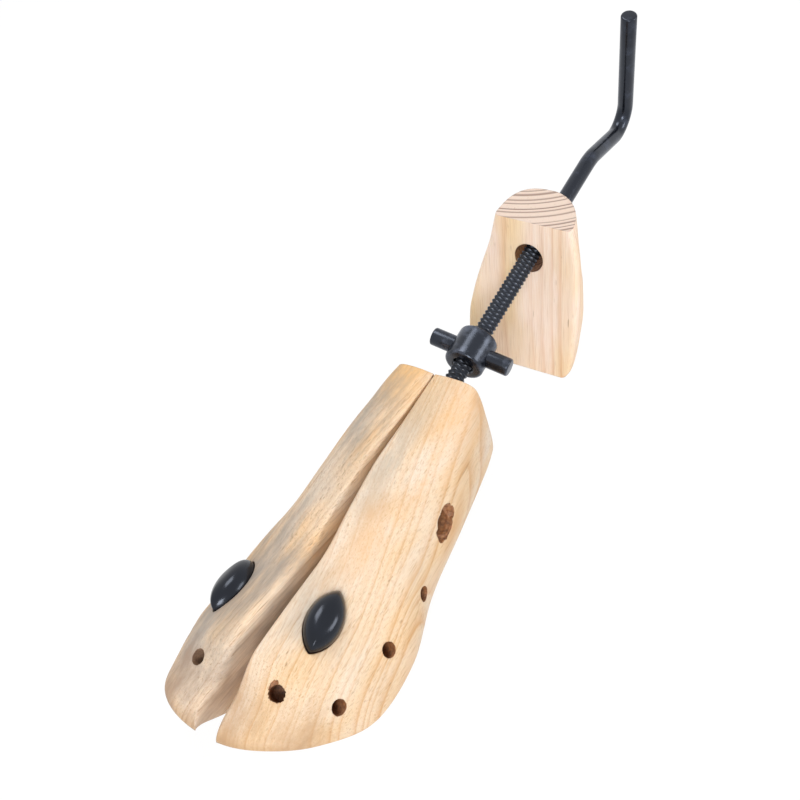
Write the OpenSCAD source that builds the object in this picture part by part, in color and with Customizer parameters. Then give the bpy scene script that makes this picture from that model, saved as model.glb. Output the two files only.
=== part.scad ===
// Two-way wooden shoe stretcher: a split forepart, a heel block and one
// threaded rod with a crank, which run on one axis that rises to the heel.

/* [Rod] */
// Height of the rod's axis at the forepart's rear face
rod_z = 46; // [40:0.5:52]
// How steeply the rod rises towards the heel, in degrees
rod_rise = 15; // [10:0.5:18]
// Diameter of the smooth rod and of the handle
rod_d = 8; // [6:0.5:9]
// Diameter over the thread's crests
thread_d = 9.3; // [8:0.1:10]
// Spacing of the thread's crests along the rod
thread_step = 2.46; // [2:0.01:3]

/* [Crank handle] */
// Distance along the rod to the first bend
bend_at = 160.2; // [157:0.1:170]
// Angle of the first bend
first_bend = 21.8; // [10:0.1:30]
// Distance between the corners of the two bends
crank_mid = 49.4; // [45:0.1:60]
// Angle between the rod and the grip
grip_angle = 92.5; // [80:0.5:100]
// Distance from the second corner to the grip's end
grip_l = 74.6; // [50:0.1:80]
// Lean of the crank to one side of the rod
crank_roll = 7.4; // [0:0.1:20]

/* [Forepart] */
// Gap left at the seam with the halves closed
seam = 0.7; // [0.4:0.1:1.5]
// Angle by which each half stands open
half_open = 1.57; // [1.5:0.01:1.7]
// Distance of the halves' hinge line in front of the rod's entry
hinge_back = 7; // [6:0.5:8]
// Diameter of a free plug socket
socket_d = 6.4; // [6.2:0.1:7]
// Depth of a free plug socket
socket_depth = 12; // [8:0.5:14]
// Diameter of the bore across each half for the inner cross bar
cross_bore_d = 10.5; // [10:0.1:11]

/* [Bunion plugs] */
// Length of a plug
plug_l = 27.5; // [20:0.5:30]
// Width of a plug
plug_w = 14.5; // [10:0.5:18]
// Height of a plug's dome above its seat
plug_h = 7.6; // [5:0.1:10]

/* [Wing nut] */
// Diameter of the wing nut's barrel
nut_d = 19; // [15:0.5:20]
// Length of the barrel
nut_l = 17.5; // [12:0.5:20]
// Diameter of its two bars
bar_d = 8.5; // [6:0.1:9]
// Length over both bars
bar_span = 39.5; // [30:0.5:40]
// Turn of the bars about the rod
bar_roll = 11.4; // [0:0.1:90]

/* [Heel block] */
// Place of the block's front face in front of the rod's entry
heel_front = 85; // [84:0.5:88]
// Diameter of the wide bore for the rod
heel_bore_d = 15; // [12:0.5:16]

/* [Hidden] */
$fn = 64;

// The origin lies on the standing plane, below the middle of the whole length
mid_shift = -12.3;
rod_r = rod_d / 2;
thread_r = thread_d / 2;
run_gap = 0.05;

// Curves
// Value at x of a smooth curve through round points [x, value]
function span_of(p, x, i = 0) = i >= len(p) - 2 || x <= p[i + 1][0] ? i : span_of(p, x, i + 1);
function rate(p, i) = (p[i + 1][1] - p[i][1]) / (p[i + 1][0] - p[i][0]);
function slope_at(p, i) =
    i == 0 ? rate(p, 0)
    : i == len(p) - 1 ? rate(p, i - 1)
    : rate(p, i - 1) * rate(p, i) <= 0 ? 0
    : 2 / (1 / rate(p, i - 1) + 1 / rate(p, i));
function curve(p, x) =
    let (i = span_of(p, x),
        step = p[i + 1][0] - p[i][0],
        t = min(max((x - p[i][0]) / step, 0), 1))
    (1 + 2 * t) * (1 - t) * (1 - t) * p[i][1] + t * (1 - t) * (1 - t) * step * slope_at(p, i)
    + t * t * (3 - 2 * t) * p[i + 1][1] - t * t * (1 - t) * step * slope_at(p, i + 1);
function round_off(x, p) = pow(1 - pow(1 - min(max(x, 0), 1), p), 1 / p);
function power(x, p) = pow(abs(x), 2 / p);
function unit(v) = v / norm(v);

// Forepart
// All distances run from the toe tip back along the half
fore_l = 176;
toe_x = -176.5;
nose_z = 18.1;
half_width = [[0, 43], [22, 40], [45, 43.3], [70, 41.8], [100, 34.3], [130, 31], [176, 22]];
ridge_z = [[0, 26.7], [12, 27.7], [30, 38], [50, 39.9], [75, 41.9], [100, 50.4],
    [122, 56.7], [140, 58.8], [176, 63.7]];
widest_z = [[0, 22.6], [40, 2.3], [90, 9], [140, 31.4], [176, 40.6]];
upper_power = [[0, 2.6], [30, 1.85], [60, 1.6], [90, 2], [120, 2], [176, 5.4]];
lower_power = [[0, 2.35], [40, 2.65], [100, 2.85], [176, 3.8]];
sole_z = [[0, 20.4], [10, 13], [20, 7.3], [30, 3.1], [40, 0.7], [48, -0.4], [119, -0.4],
    [150, 0.9], [176, 3.2]];

// Point of a half's skin at a distance from the toe; phi runs from the ridge
// at 0 over the side to the sole at 180
function skin(d, phi) =
    let (
        up = phi <= 90,
        rise = round_off(d / 17.3, 2.2),
        w = curve(half_width, d) * round_off(d / 69.5, 2.36),
        top = nose_z + (curve(ridge_z, d) - nose_z) * rise,
        low = nose_z + (curve(sole_z, d) - nose_z) * rise,
        wide = nose_z + (curve(widest_z, d) - nose_z) * rise,
        p = up ? curve(upper_power, d) : curve(lower_power, d),
        y = seam / 2 + (w - seam / 2) * power(sin(phi), p),
        z = max(0, up ? wide + (top - wide) * power(cos(phi), p)
            : wide - (wide - low) * power(cos(phi), p)),
        lean = min(max((d - 110) / 66, 0), 1) * tan(rod_rise)
    )
    [toe_x + d - (z - rod_z) * lean, y, z];

rings = 54;
ring_points = 30;
function ring_d(i) = fore_l * pow(i / rings, 1.7);

// The left half closed, before anything is cut
module half_skin() {
    n = ring_points + 1;
    points = concat(
        [[toe_x, seam / 2, nose_z]],
        [for (i = [1 : rings]) for (j = [0 : ring_points]) skin(ring_d(i), 180 * j / ring_points)]);
    function id(i, j) = 1 + (i - 1) * n + j % n;
    faces = concat(
        [for (j = [0 : n - 1]) [0, id(1, j + 1), id(1, j)]],
        [for (i = [1 : rings - 1]) for (j = [0 : n - 1]) each [
            [id(i, j), id(i + 1, j + 1), id(i + 1, j)],
            [id(i, j), id(i, j + 1), id(i + 1, j + 1)]]],
        [for (j = [1 : n - 2]) [id(rings, 0), id(rings, j), id(rings, j + 1)]]);
    polyhedron(points, faces, convexity = 6);
}

// Puts its children on the skin, +Z out of it and +X back along the half
module on_skin(d, phi, turn = 0) {
    multmatrix(skin_frame(d, phi)) rotate([0, 0, turn]) children();
}
function skin_frame(d, phi) =
    let (
        at = skin(d, phi),
        back = skin(d + 0.5, phi) - skin(d - 0.5, phi),
        down = skin(d, phi + 1) - skin(d, phi - 1),
        n = unit(cross(down, back)) * (cross(down, back)[1] >= 0 ? 1 : -1),
        a = unit(back - n * (back * n)),
        b = cross(n, a)
    )
    [[a[0], b[0], n[0], at[0]], [a[1], b[1], n[1], at[1]], [a[2], b[2], n[2], at[2]], [0, 0, 0, 1]];

// Free sockets of one half as [distance from the toe, phi]
sockets = [[21.2, 28], [32.8, 63], [63.2, 62], [93.3, 77]];
left_toe_socket = [20.3, 25];
plug_seat_right = [53.1, 26.2, -7];
plug_seat_left = [53.3, 37.8, 8.2];
seat_sink = 0.9;

// Moves children to the row's origin
module placed() {
    translate([mid_shift, 0, 0]) children();
}
// +X along the rod, +Z square to it and up, from the rod's entry
module on_axis() {
    translate([0, 0, rod_z]) rotate([0, -rod_rise, 0]) children();
}
// A cylinder along the rod from one distance to another
module along(from, to, r) {
    translate([from, 0, 0]) rotate([0, 90, 0]) cylinder(h = to - from, r = r);
}
// Opens a closed left half about the hinge line, and mirrors it for the right
module opened(side) {
    placed() mirror([0, side < 0 ? 1 : 0, 0])
        translate([-hinge_back, 0, 0]) rotate([0, 0, -half_open]) translate([hinge_back, 0, 0])
            children();
}

// Mechanism inside the forepart
anchor_x = -55.2;
anchor_u = anchor_x / cos(rod_rise);
anchor_z = rod_z + anchor_x * tan(rod_rise);
anchor_l = 17.5;
anchor_r = 9.5;
anchor_bar_r = 4;
anchor_bar_span = 40;
collar_l = 4;
collar_r = 7.5;
collar_gap = 0.4;
cross_bore_x = anchor_x - 0.9;

wedge_rear = -80;
wedge_l = 12;
wedge_nose = 5.8;
wedge_slope = 25;
wedge_h = 14;
// How far the wedge stands back with the halves closed
closed_back = 4.46;
rod_front = -110;

plate_t = 2;
plate_slope = 27;
plate_gap = 0.9;
plate_mid_u = wedge_rear - wedge_l / 2 + closed_back;
plate_mid_y = wedge_nose + wedge_l / 2 * tan(wedge_slope) + plate_gap;
plate_front_u = -98;
plate_rear_u = -74;
function plate_y(u) = plate_mid_y + (u - plate_mid_u) * tan(plate_slope);
plate_back = plate_t / cos(plate_slope);

hinge_pin_r = 1.2;
knuckle_r = 2.3;
leaf_t = 1.2;
leaf_l = 16;
// Each hinge as [bottom, height]
hinges = [[8, 24], [50.6, 7.2]];

module wood_cuts() {
    on_axis() {
        along(rod_front - 6, 25, 6.3);
        along(anchor_u - anchor_l / 2 - collar_l - 2, anchor_u + anchor_l / 2 + collar_l + 2,
            anchor_r + 0.8);
        // Pocket for the wedge and the plate that it runs on
        translate([0, 0, -wedge_h / 2 - 1.3]) linear_extrude(wedge_h + 2.6) polygon([
            [plate_rear_u + 3, -2],
            [plate_rear_u + 3, plate_y(plate_rear_u) + plate_back + 0.5],
            [plate_rear_u, plate_y(plate_rear_u) + plate_back + 0.5],
            [plate_rear_u, plate_y(plate_rear_u) + plate_back],
            [plate_front_u, plate_y(plate_front_u) + plate_back],
            [plate_front_u - 0.6, plate_y(plate_front_u) + plate_back],
            [plate_front_u - 0.6, -2]]);
    }
    translate([cross_bore_x, 0, anchor_z]) rotate([-90, 0, 0])
        cylinder(h = 60, d = cross_bore_d);
    for (h = hinges) {
        translate([-hinge_back, 0, h[0] - 0.4]) cylinder(h = h[1] + 0.8, r = knuckle_r + 0.5);
        translate([-hinge_back - leaf_l - 0.2, -1, h[0] - 0.1])
            cube([leaf_l, 1 + seam / 2 + leaf_t, h[1] + 0.2]);
    }
    // Relief behind the hinge line, so that the corners clear as the toe opens
    translate([0, 0, -1]) linear_extrude(80) polygon([
        [-hinge_back, -2], [-hinge_back, seam / 2], [40, seam / 2 + 47 * tan(4.9)], [40, -2]]);
}

module plug_cut(seat) {
    on_skin(seat[0], seat[1], seat[2]) {
        translate([0, 0, -seat_sink]) linear_extrude(12) polygon(
            [for (j = [0 : 59]) almond_at(6 * j, plug_l + 1, plug_w + 0.4)]);
        translate([0, 0, -12]) cylinder(h = 12, r = 3.05);
    }
}

module forepart(side, seat, toe_socket) {
    opened(side) difference() {
        half_skin();
        wood_cuts();
        plug_cut(seat);
        for (s = concat([toe_socket], [for (i = [1 : len(sockets) - 1]) sockets[i]]))
            on_skin(s[0], s[1]) translate([0, 0, -socket_depth])
                cylinder(h = socket_depth + 6, d = socket_d);
        for (h = hinges) hinge_screw_holes(h);
        cam_screw(run_gap);
    }
}
module forepart_left() {
    color("burlywood") forepart(1, plug_seat_left, left_toe_socket);
}
module forepart_right() {
    color("burlywood") forepart(-1, plug_seat_right, sockets[0]);
}

// Bunion plugs
plug_sides = 40;
plug_rings = 8;
plug_edge = 1.0;
// Point of the plug's outline, with its tips a little blunt
function almond_at(t, l = plug_l, w = plug_w) =
    let (c = cos(t), s = sin(t))
    [l / 2 * sign(c) * pow(abs(c), 0.95), w / 2 * sign(s) * pow(abs(s), 1.5)];
module plug_dome() {
    function level(k) = k == 0 ? [0, 1] : let (t = (k - 1) / plug_rings)
        [plug_edge + (plug_h - plug_edge) * sin(90 * t), pow(cos(90 * t), 0.75)];
    m = plug_sides;
    top = plug_rings;
    points = concat(
        [for (k = [0 : top]) for (j = [0 : m - 1]) let (a = almond_at(360 * j / m), q = level(k))
            [a[0] * q[1], a[1] * q[1], q[0]]],
        [[0, 0, plug_h]]);
    faces = concat(
        [[for (j = [0 : m - 1]) j]],
        [for (k = [0 : top - 1]) for (j = [0 : m - 1]) let (n = (j + 1) % m) each [
            [k * m + j, (k + 1) * m + j, (k + 1) * m + n],
            [k * m + j, (k + 1) * m + n, k * m + n]]],
        [for (j = [0 : m - 1]) [top * m + j, (top + 1) * m, top * m + (j + 1) % m]]);
    polyhedron(points, faces);
}
module plug(side, seat) {
    opened(side) on_skin(seat[0], seat[1], seat[2]) {
        translate([0, 0, -seat_sink]) plug_dome();
        translate([0, 0, -10]) cylinder(h = 10, r = 3);
    }
}
module plug_left() {
    color("dimgray") plug(1, plug_seat_left);
}
module plug_right() {
    color("dimgray") plug(-1, plug_seat_right);
}

// Hinge
// Three knuckles on a tall hinge and two on a short one; own says whose
function knuckles(h) = h[1] > 12
    ? [[0, h[1] / 3, 1], [h[1] / 3, h[1] / 3, -1], [2 * h[1] / 3, h[1] / 3, 1]]
    : [[0, h[1] / 2, 1], [h[1] / 2, h[1] / 2, -1]];
function screw_heights(h) = h[1] > 12 ? [h[0] + 5, h[0] + h[1] - 5] : [h[0] + h[1] / 2];
screw_x = -hinge_back - leaf_l + 5;

module hinge_leaf(h, side) {
    difference() {
        union() {
            translate([-hinge_back - leaf_l, seam / 2, h[0]])
                cube([leaf_l - knuckle_r - 0.5, leaf_t, h[1]]);
            for (k = knuckles(h)) if (k[2] == side) translate([0, 0, h[0] + k[0] + 0.1]) {
                translate([-hinge_back, 0, 0]) cylinder(h = k[1] - 0.2, r = knuckle_r);
                translate([-hinge_back - knuckle_r - 1, seam / 2, 0])
                    cube([knuckle_r + 1, leaf_t, k[1] - 0.2]);
            }
        }
        translate([-hinge_back, 0, h[0] - 1]) cylinder(h = h[1] + 2, r = hinge_pin_r + run_gap);
        hinge_screw_holes(h);
    }
}
module hinge_screw(gap = 0) {
    rotate([-90, 0, 0]) {
        cylinder(h = 9 + gap, r = 1.3 + gap);
        cylinder(h = 1.1 + gap, r1 = 2.3 + gap, r2 = 1.3 + gap);
    }
}
module hinge_screw_holes(h) {
    for (z = screw_heights(h)) translate([screw_x, seam / 2, z]) hinge_screw(run_gap);
}
module hinge_leaves(side) {
    opened(side) for (h = hinges) hinge_leaf(h, side);
}
module hinge_screws(side) {
    opened(side) for (h = hinges) for (z = screw_heights(h))
        translate([screw_x, seam / 2 + 0.05, z]) hinge_screw();
}
module hinge_leaves_left() {
    color("goldenrod") hinge_leaves(1);
}
module hinge_leaves_right() {
    color("goldenrod") hinge_leaves(-1);
}
module hinge_screws_left() {
    color("silver") hinge_screws(1);
}
module hinge_screws_right() {
    color("silver") hinge_screws(-1);
}
module hinge_pins() {
    color("silver") placed() for (h = hinges)
        translate([-hinge_back, 0, h[0]]) cylinder(h = h[1], r = hinge_pin_r);
}

// Cam plates and wedge
module cam_plate(side) {
    opened(side) difference() {
        on_axis() translate([0, 0, -wedge_h / 2]) linear_extrude(wedge_h) polygon([
            [plate_rear_u, plate_y(plate_rear_u)],
            [plate_front_u, plate_y(plate_front_u)],
            [plate_front_u, plate_y(plate_front_u) + plate_back],
            [plate_rear_u, plate_y(plate_rear_u) + plate_back]]);
        cam_screw(run_gap);
        // Fork that straddles the rod
        on_axis() along(plate_front_u - 5, plate_rear_u + 5, thread_r + 0.8);
    }
}
module cam_screw(gap = 0) {
    on_axis() translate([plate_mid_u, plate_y(plate_mid_u) + gap / 2, 0])
        rotate([0, 0, plate_slope]) rotate([-90, 0, 0]) {
            cylinder(h = 1.5 + gap, r1 = 2.8 + gap, r2 = 1.4 + gap);
            cylinder(h = 9 + gap, r = 1.4 + gap);
            if (gap > 0) translate([0, 0, -3]) cylinder(h = 3.01, r = 2.8 + gap);
        }
}
module cam_plate_left() {
    color("slategray") cam_plate(1);
}
module cam_plate_right() {
    color("slategray") cam_plate(-1);
}
module cam_screws_left() {
    color("silver") opened(1) cam_screw();
}
module cam_screws_right() {
    color("silver") opened(-1) cam_screw();
}
module wedge_nut() {
    rear = wedge_nose + wedge_l * tan(wedge_slope);
    color("darkslategray") placed() on_axis() difference() {
        translate([0, 0, -wedge_h / 2]) linear_extrude(wedge_h) polygon([
            [wedge_rear, -rear], [wedge_rear, rear],
            [wedge_rear - wedge_l, wedge_nose], [wedge_rear - wedge_l, -wedge_nose]]);
        along(wedge_rear - wedge_l - 1, wedge_rear + 1, thread_r + run_gap);
    }
}
module stop_ring() {
    color("silver") placed() on_axis() difference() {
        along(rod_front + 1, rod_front + 4, 5.9);
        along(rod_front, rod_front + 5, thread_r + run_gap);
    }
}

// Anchor on the inner cross bar
module anchor_barrel() {
    color("dimgray") placed() difference() {
        on_axis() along(anchor_u - anchor_l / 2, anchor_u + anchor_l / 2, anchor_r);
        on_axis() along(anchor_u - anchor_l, anchor_u + anchor_l, thread_r + run_gap);
        for (s = [-1, 1]) translate([anchor_x, 0, anchor_z]) rotate([-90 * s, 0, 0])
            translate([0, 0, 6]) cylinder(h = 10, r = anchor_bar_r + run_gap / 2);
    }
}
module anchor_bars() {
    color("dimgray") placed() for (s = [-1, 1])
        translate([anchor_x, 0, anchor_z]) rotate([-90 * s, 0, 0])
            translate([0, 0, 6.05]) cylinder(h = anchor_bar_span / 2 - 6.05, r = anchor_bar_r);
}
collar_us = [anchor_u - anchor_l / 2 - collar_gap - collar_l, anchor_u + anchor_l / 2 + collar_gap];
module collar_pin_at(u, gap = 0) {
    translate([u + collar_l / 2, 0, -collar_r + 0.3 - gap])
        cylinder(h = 2 * collar_r - 0.6 + 2 * gap, r = 1 + gap);
}
module thrust_collars() {
    color("silver") placed() on_axis() for (u = collar_us) difference() {
        along(u, u + collar_l, collar_r);
        along(u - 1, u + collar_l + 1, thread_r + run_gap);
        collar_pin_at(u, run_gap / 2 + 0.3);
    }
}
module collar_pins() {
    color("silver") placed() on_axis() for (u = collar_us) collar_pin_at(u);
}

// Spindle: threaded rod and crank in one bar
thread_end = 104;
thread_root = 3.9;
bend_r = 12;
grip_bend_r = 16;
turn_back = grip_angle + first_bend;
bend_cut = bend_r * tan(first_bend / 2);
grip_cut = grip_bend_r * tan(turn_back / 2);
// Middle line of the crank in its own plane as [x, y, direction], +X along
// the rod and +Y towards the grip
bend_steps = 6;
grip_steps = 20;
function arc(centre, r, from, to, n) = [for (i = [0 : n]) let (a = from + (to - from) * i / n)
    [centre[0] + r * cos(a), centre[1] + r * sin(a), a + (to > from ? 90 : -90)]];
function crank_path() =
    let (
        start = [bend_at - bend_cut, 0],
        c1 = start - [0, bend_r],
        p1 = c1 + bend_r * [sin(first_bend), cos(first_bend)],
        p2 = p1 + (crank_mid - bend_cut - grip_cut) * [cos(first_bend), -sin(first_bend)],
        c2 = p2 + grip_bend_r * [sin(first_bend), cos(first_bend)],
        out = grip_angle - 90,
        p3 = c2 + grip_bend_r * [cos(out), sin(out)],
        tip = p3 + (grip_l - grip_cut) * [cos(grip_angle), sin(grip_angle)]
    )
    concat(
        [[thread_end - 2, 0, 0]],
        arc(c1, bend_r, 90, 90 - first_bend, bend_steps),
        arc(c2, grip_bend_r, -90 - first_bend, out, grip_steps),
        [[tip[0], tip[1], grip_angle]]);
crank_sides = 28;
module crank() {
    path = crank_path();
    last = len(path) - 1;
    m = crank_sides;
    edge = 0.8;
    end = path[last];
    // The grip's end has a small chamfer
    stations = concat(
        [for (i = [0 : last - 1]) concat(path[i], rod_r)],
        [[end[0] - edge * cos(end[2]), end[1] - edge * sin(end[2]), end[2], rod_r],
            [end[0], end[1], end[2], rod_r - edge]]);
    points = [for (s = stations) for (j = [0 : m - 1]) let (a = 360 * j / m)
        [s[0] - s[3] * cos(a) * sin(s[2]), s[1] + s[3] * cos(a) * cos(s[2]), s[3] * sin(a)]];
    faces = concat(
        [[for (j = [0 : m - 1]) j]],
        [for (i = [0 : len(stations) - 2]) for (j = [0 : m - 1]) let (k = (j + 1) % m) each [
            [i * m + j, (i + 1) * m + j, (i + 1) * m + k],
            [i * m + j, (i + 1) * m + k, i * m + k]]],
        [[for (j = [m - 1 : -1 : 0]) (len(stations) - 1) * m + j]]);
    polyhedron(points, faces, convexity = 4);
}
module threaded_rod() {
    crests = floor((thread_end - rod_front - 2) / thread_step);
    profile = concat(
        [[0, rod_front], [thread_root - 0.6, rod_front], [thread_root, rod_front + 1]],
        [for (i = [0 : crests - 1]) let (u = rod_front + 1 + i * thread_step) each [
            [thread_r, u + thread_step / 2],
            [thread_root, u + thread_step]]],
        [[thread_root, thread_end], [0, thread_end]]);
    rotate([0, 90, 0]) rotate_extrude($fn = 24) polygon(profile);
}
module spindle() {
    color([0.12, 0.12, 0.13]) placed() on_axis() difference() {
        union() {
            threaded_rod();
            rotate([90 + crank_roll, 0, 0]) crank();
        }
        for (u = collar_us) collar_pin_at(u, run_gap / 2);
    }
}

// Wing nut
nut_front = 18.6;
nut_mid = nut_front + nut_l / 2;
nut_round = 1.4;
module nut_barrel() {
    r = nut_d / 2;
    b = nut_round;
    bore = thread_r + run_gap;
    color([0.1, 0.1, 0.11]) placed() on_axis() difference() {
        translate([nut_front, 0, 0]) rotate([0, 90, 0]) rotate_extrude() polygon([
            [bore, 0.6], [bore + 0.6, 0], [r - b, 0], [r - 0.3 * b, 0.3 * b], [r, b],
            [r, nut_l - b], [r - 0.3 * b, nut_l - 0.3 * b], [r - b, nut_l],
            [bore + 0.6, nut_l], [bore, nut_l - 0.6]]);
        for (s = [-1, 1]) translate([nut_mid, 0, 0]) rotate([bar_roll - 90 * s, 0, 0])
            translate([0, 0, 6]) cylinder(h = 8, r = bar_d / 2 + run_gap / 2);
    }
}
module nut_bars() {
    b = 1.2;
    color([0.1, 0.1, 0.11]) placed() on_axis() for (s = [-1, 1])
        translate([nut_mid, 0, 0]) rotate([bar_roll - 90 * s, 0, 0]) {
            translate([0, 0, 6.05]) cylinder(h = bar_span / 2 - b - 6.05, d = bar_d);
            translate([0, 0, bar_span / 2 - b])
                cylinder(h = b, r1 = bar_d / 2, r2 = bar_d / 2 - b);
        }
}

// Heel block
// Half width and depth by height; the block leans a little to one side
heel_half = [[0, 26.5], [4, 28.5], [12, 29.6], [20, 29.9], [28, 30], [39, 29], [49, 27.7],
    [59, 26], [75, 23], [88, 20.3], [104, 16]];
heel_deep = [[0, 22], [6, 29.5], [25, 37.5], [50, 31], [75, 19.5], [91, 23.5], [104, 23.5]];
heel_middle = [[0, 8], [20, 6.9], [39, 4.4], [59, 1.1], [75, -1.4], [88, -1.9], [104, -2.5]];
heel_top = 104;
heel_rings = 18;
heel_sides = 36;
corner = 2.4;
function heel_mid(z) = curve(heel_middle, z);
// The back is rounder on the right than on the left
function heel_at(z, t) =
    let (w = curve(heel_half, z), deep = curve(heel_deep, z) - corner)
    [heel_front + corner + deep * power(cos(t), t < 0 ? 1.9 : 2.9),
        heel_mid(z) + w * sign(t) * power(sin(t), t < 0 ? 1.9 : 2.9), z];
function heel_ring(z) =
    let (w = curve(heel_half, z), m = heel_mid(z))
    concat([[heel_front, m - w + corner, z], [heel_front + 0.3 * corner, m - w + 0.3 * corner, z]],
        [for (j = [0 : heel_sides]) heel_at(z, -90 + 180 * j / heel_sides)],
        [[heel_front + 0.3 * corner, m + w - 0.3 * corner, z], [heel_front, m + w - corner, z]]);
module heel_block() {
    n = heel_sides + 5;
    points = [for (i = [0 : heel_rings]) each heel_ring(heel_top * pow(i / heel_rings, 1.25))];
    faces = concat(
        [[for (j = [0 : n - 1]) j]],
        [for (i = [0 : heel_rings - 1]) for (j = [0 : n - 1]) let (k = (j + 1) % n) each [
            [i * n + j, (i + 1) * n + j, (i + 1) * n + k],
            [i * n + j, (i + 1) * n + k, i * n + k]]],
        [[for (j = [n - 1 : -1 : 0]) heel_rings * n + j]]);
    color("wheat") placed() difference() {
        polyhedron(points, faces, convexity = 4);
        // The sloping top, cut across the grain
        translate([heel_front, 0, 88.7]) rotate([0.5, -11.5, 0]) translate([-20, -60, 0])
            cube([100, 120, 40]);
        on_axis() along(60, 160, heel_bore_d / 2);
    }
}

// Places that the record states, in millimetres
function open_point(p, side) =
    let (x = p[0] + hinge_back, a = half_open,
        xr = x * cos(a) + p[1] * sin(a) - hinge_back, yr = -x * sin(a) + p[1] * cos(a))
    [xr + mid_shift, side * yr, p[2]];
function open_dir(v, side) =
    let (a = half_open) [v[0] * cos(a) + v[1] * sin(a), side * (-v[0] * sin(a) + v[1] * cos(a)), v[2]];
function socket_place(s, side) =
    let (f = skin_frame(s[0], s[1]), at = [f[0][3], f[1][3], f[2][3]], n = [f[0][2], f[1][2], f[2][2]])
    [open_point(at - n * socket_depth / 2, side), open_dir(n, side)];
for (i = [0 : 3]) {
    echo(str("right socket ", i + 1), socket_place(sockets[i], -1));
    echo(str("left socket ", i + 1), socket_place(i == 0 ? left_toe_socket : sockets[i], 1));
}

forepart_left();
forepart_right();
plug_left();
plug_right();
hinge_leaves_left();
hinge_leaves_right();
hinge_screws_left();
hinge_screws_right();
hinge_pins();
cam_plate_left();
cam_plate_right();
cam_screws_left();
cam_screws_right();
anchor_barrel();
anchor_bars();
thrust_collars();
collar_pins();
wedge_nut();
stop_ring();
spindle();
nut_barrel();
nut_bars();
heel_block();
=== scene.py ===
import math
from functools import partial

import bmesh
import bpy
import numpy as np
from mathutils import Matrix, Vector


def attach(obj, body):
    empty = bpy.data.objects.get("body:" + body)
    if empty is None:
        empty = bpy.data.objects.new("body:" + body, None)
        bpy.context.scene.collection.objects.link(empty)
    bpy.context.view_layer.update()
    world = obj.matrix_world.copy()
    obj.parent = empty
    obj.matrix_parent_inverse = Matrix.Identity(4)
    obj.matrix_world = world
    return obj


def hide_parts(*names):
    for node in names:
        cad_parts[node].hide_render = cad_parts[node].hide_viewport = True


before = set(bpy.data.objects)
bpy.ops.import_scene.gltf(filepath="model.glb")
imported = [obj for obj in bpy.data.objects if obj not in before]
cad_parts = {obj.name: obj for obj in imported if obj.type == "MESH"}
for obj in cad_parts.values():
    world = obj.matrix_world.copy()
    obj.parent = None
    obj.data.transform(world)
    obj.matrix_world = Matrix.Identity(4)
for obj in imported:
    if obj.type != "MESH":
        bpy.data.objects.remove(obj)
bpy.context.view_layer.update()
mm = 0.001

# The construction's driving sizes in millimetres, as the frame has them
midShift = -12.3
rodZ = 46.0
rodRise = math.radians(15)
halfOpen = math.radians(1.57)
hingeBack = 7.0
seam = 0.7


# sRGB hex to the linear colour that a shader takes
def hexColor(text):
    parts = [int(text[i:i + 2], 16) / 255 for i in (1, 3, 5)]
    linear = [c / 12.92 if c <= 0.04045 else ((c + 0.055) / 1.055) ** 2.4 for c in parts]
    return (*linear, 1.0)


def grey(v):
    return (v, v, v, 1.0)


# Camera: solved from the photo's perspective with the 8 mm rod as the scale
cameraSet = {
    "place": (-313.73 + midShift, -211.23, 363.45),
    "right": (0.52872, -0.84307, -0.09848),
    "up": (0.58638, 0.27890, 0.76050),
    "back": (-0.61369, -0.45984, 0.64182),
    "lens": 49.5,
    "shift": (-0.001, 0.0004),
}
cameraData = bpy.data.cameras.new("camera")
cameraData.lens = cameraSet["lens"]
cameraData.sensor_width = 36
cameraData.clip_start = 0.01
cameraData.shift_x, cameraData.shift_y = cameraSet["shift"]
camera = bpy.data.objects.new("camera", cameraData)
bpy.context.collection.objects.link(camera)
turn = Matrix([cameraSet["right"], cameraSet["up"], cameraSet["back"]]).transposed()
camera.matrix_world = Matrix.Translation(Vector(cameraSet["place"]) * mm) @ turn.to_4x4()
bpy.context.scene.camera = camera
bpy.context.scene.view_settings.view_transform = "Standard"


# Smooth curve through round points, the same rule as the construction's
def curveThrough(points, x):
    px = np.array([p[0] for p in points], float)
    py = np.array([p[1] for p in points], float)
    step = np.diff(px)
    rate = np.diff(py) / step
    slope = np.zeros(len(px))
    slope[0], slope[-1] = rate[0], rate[-1]
    for i in range(1, len(px) - 1):
        if rate[i - 1] * rate[i] > 0:
            slope[i] = 2 / (1 / rate[i - 1] + 1 / rate[i])
    i = np.clip(np.searchsorted(px, x, side="left") - 1, 0, len(px) - 2)
    t = np.clip((x - px[i]) / step[i], 0, 1)
    h = step[i]
    start = (1 + 2 * t) * (1 - t) ** 2 * py[i] + t * (1 - t) ** 2 * h * slope[i]
    return start + t * t * (3 - 2 * t) * py[i + 1] - t * t * (1 - t) * h * slope[i + 1]


def roundOff(x, power):
    return (1 - (1 - np.clip(x, 0, 1)) ** power) ** (1 / power)


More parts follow.
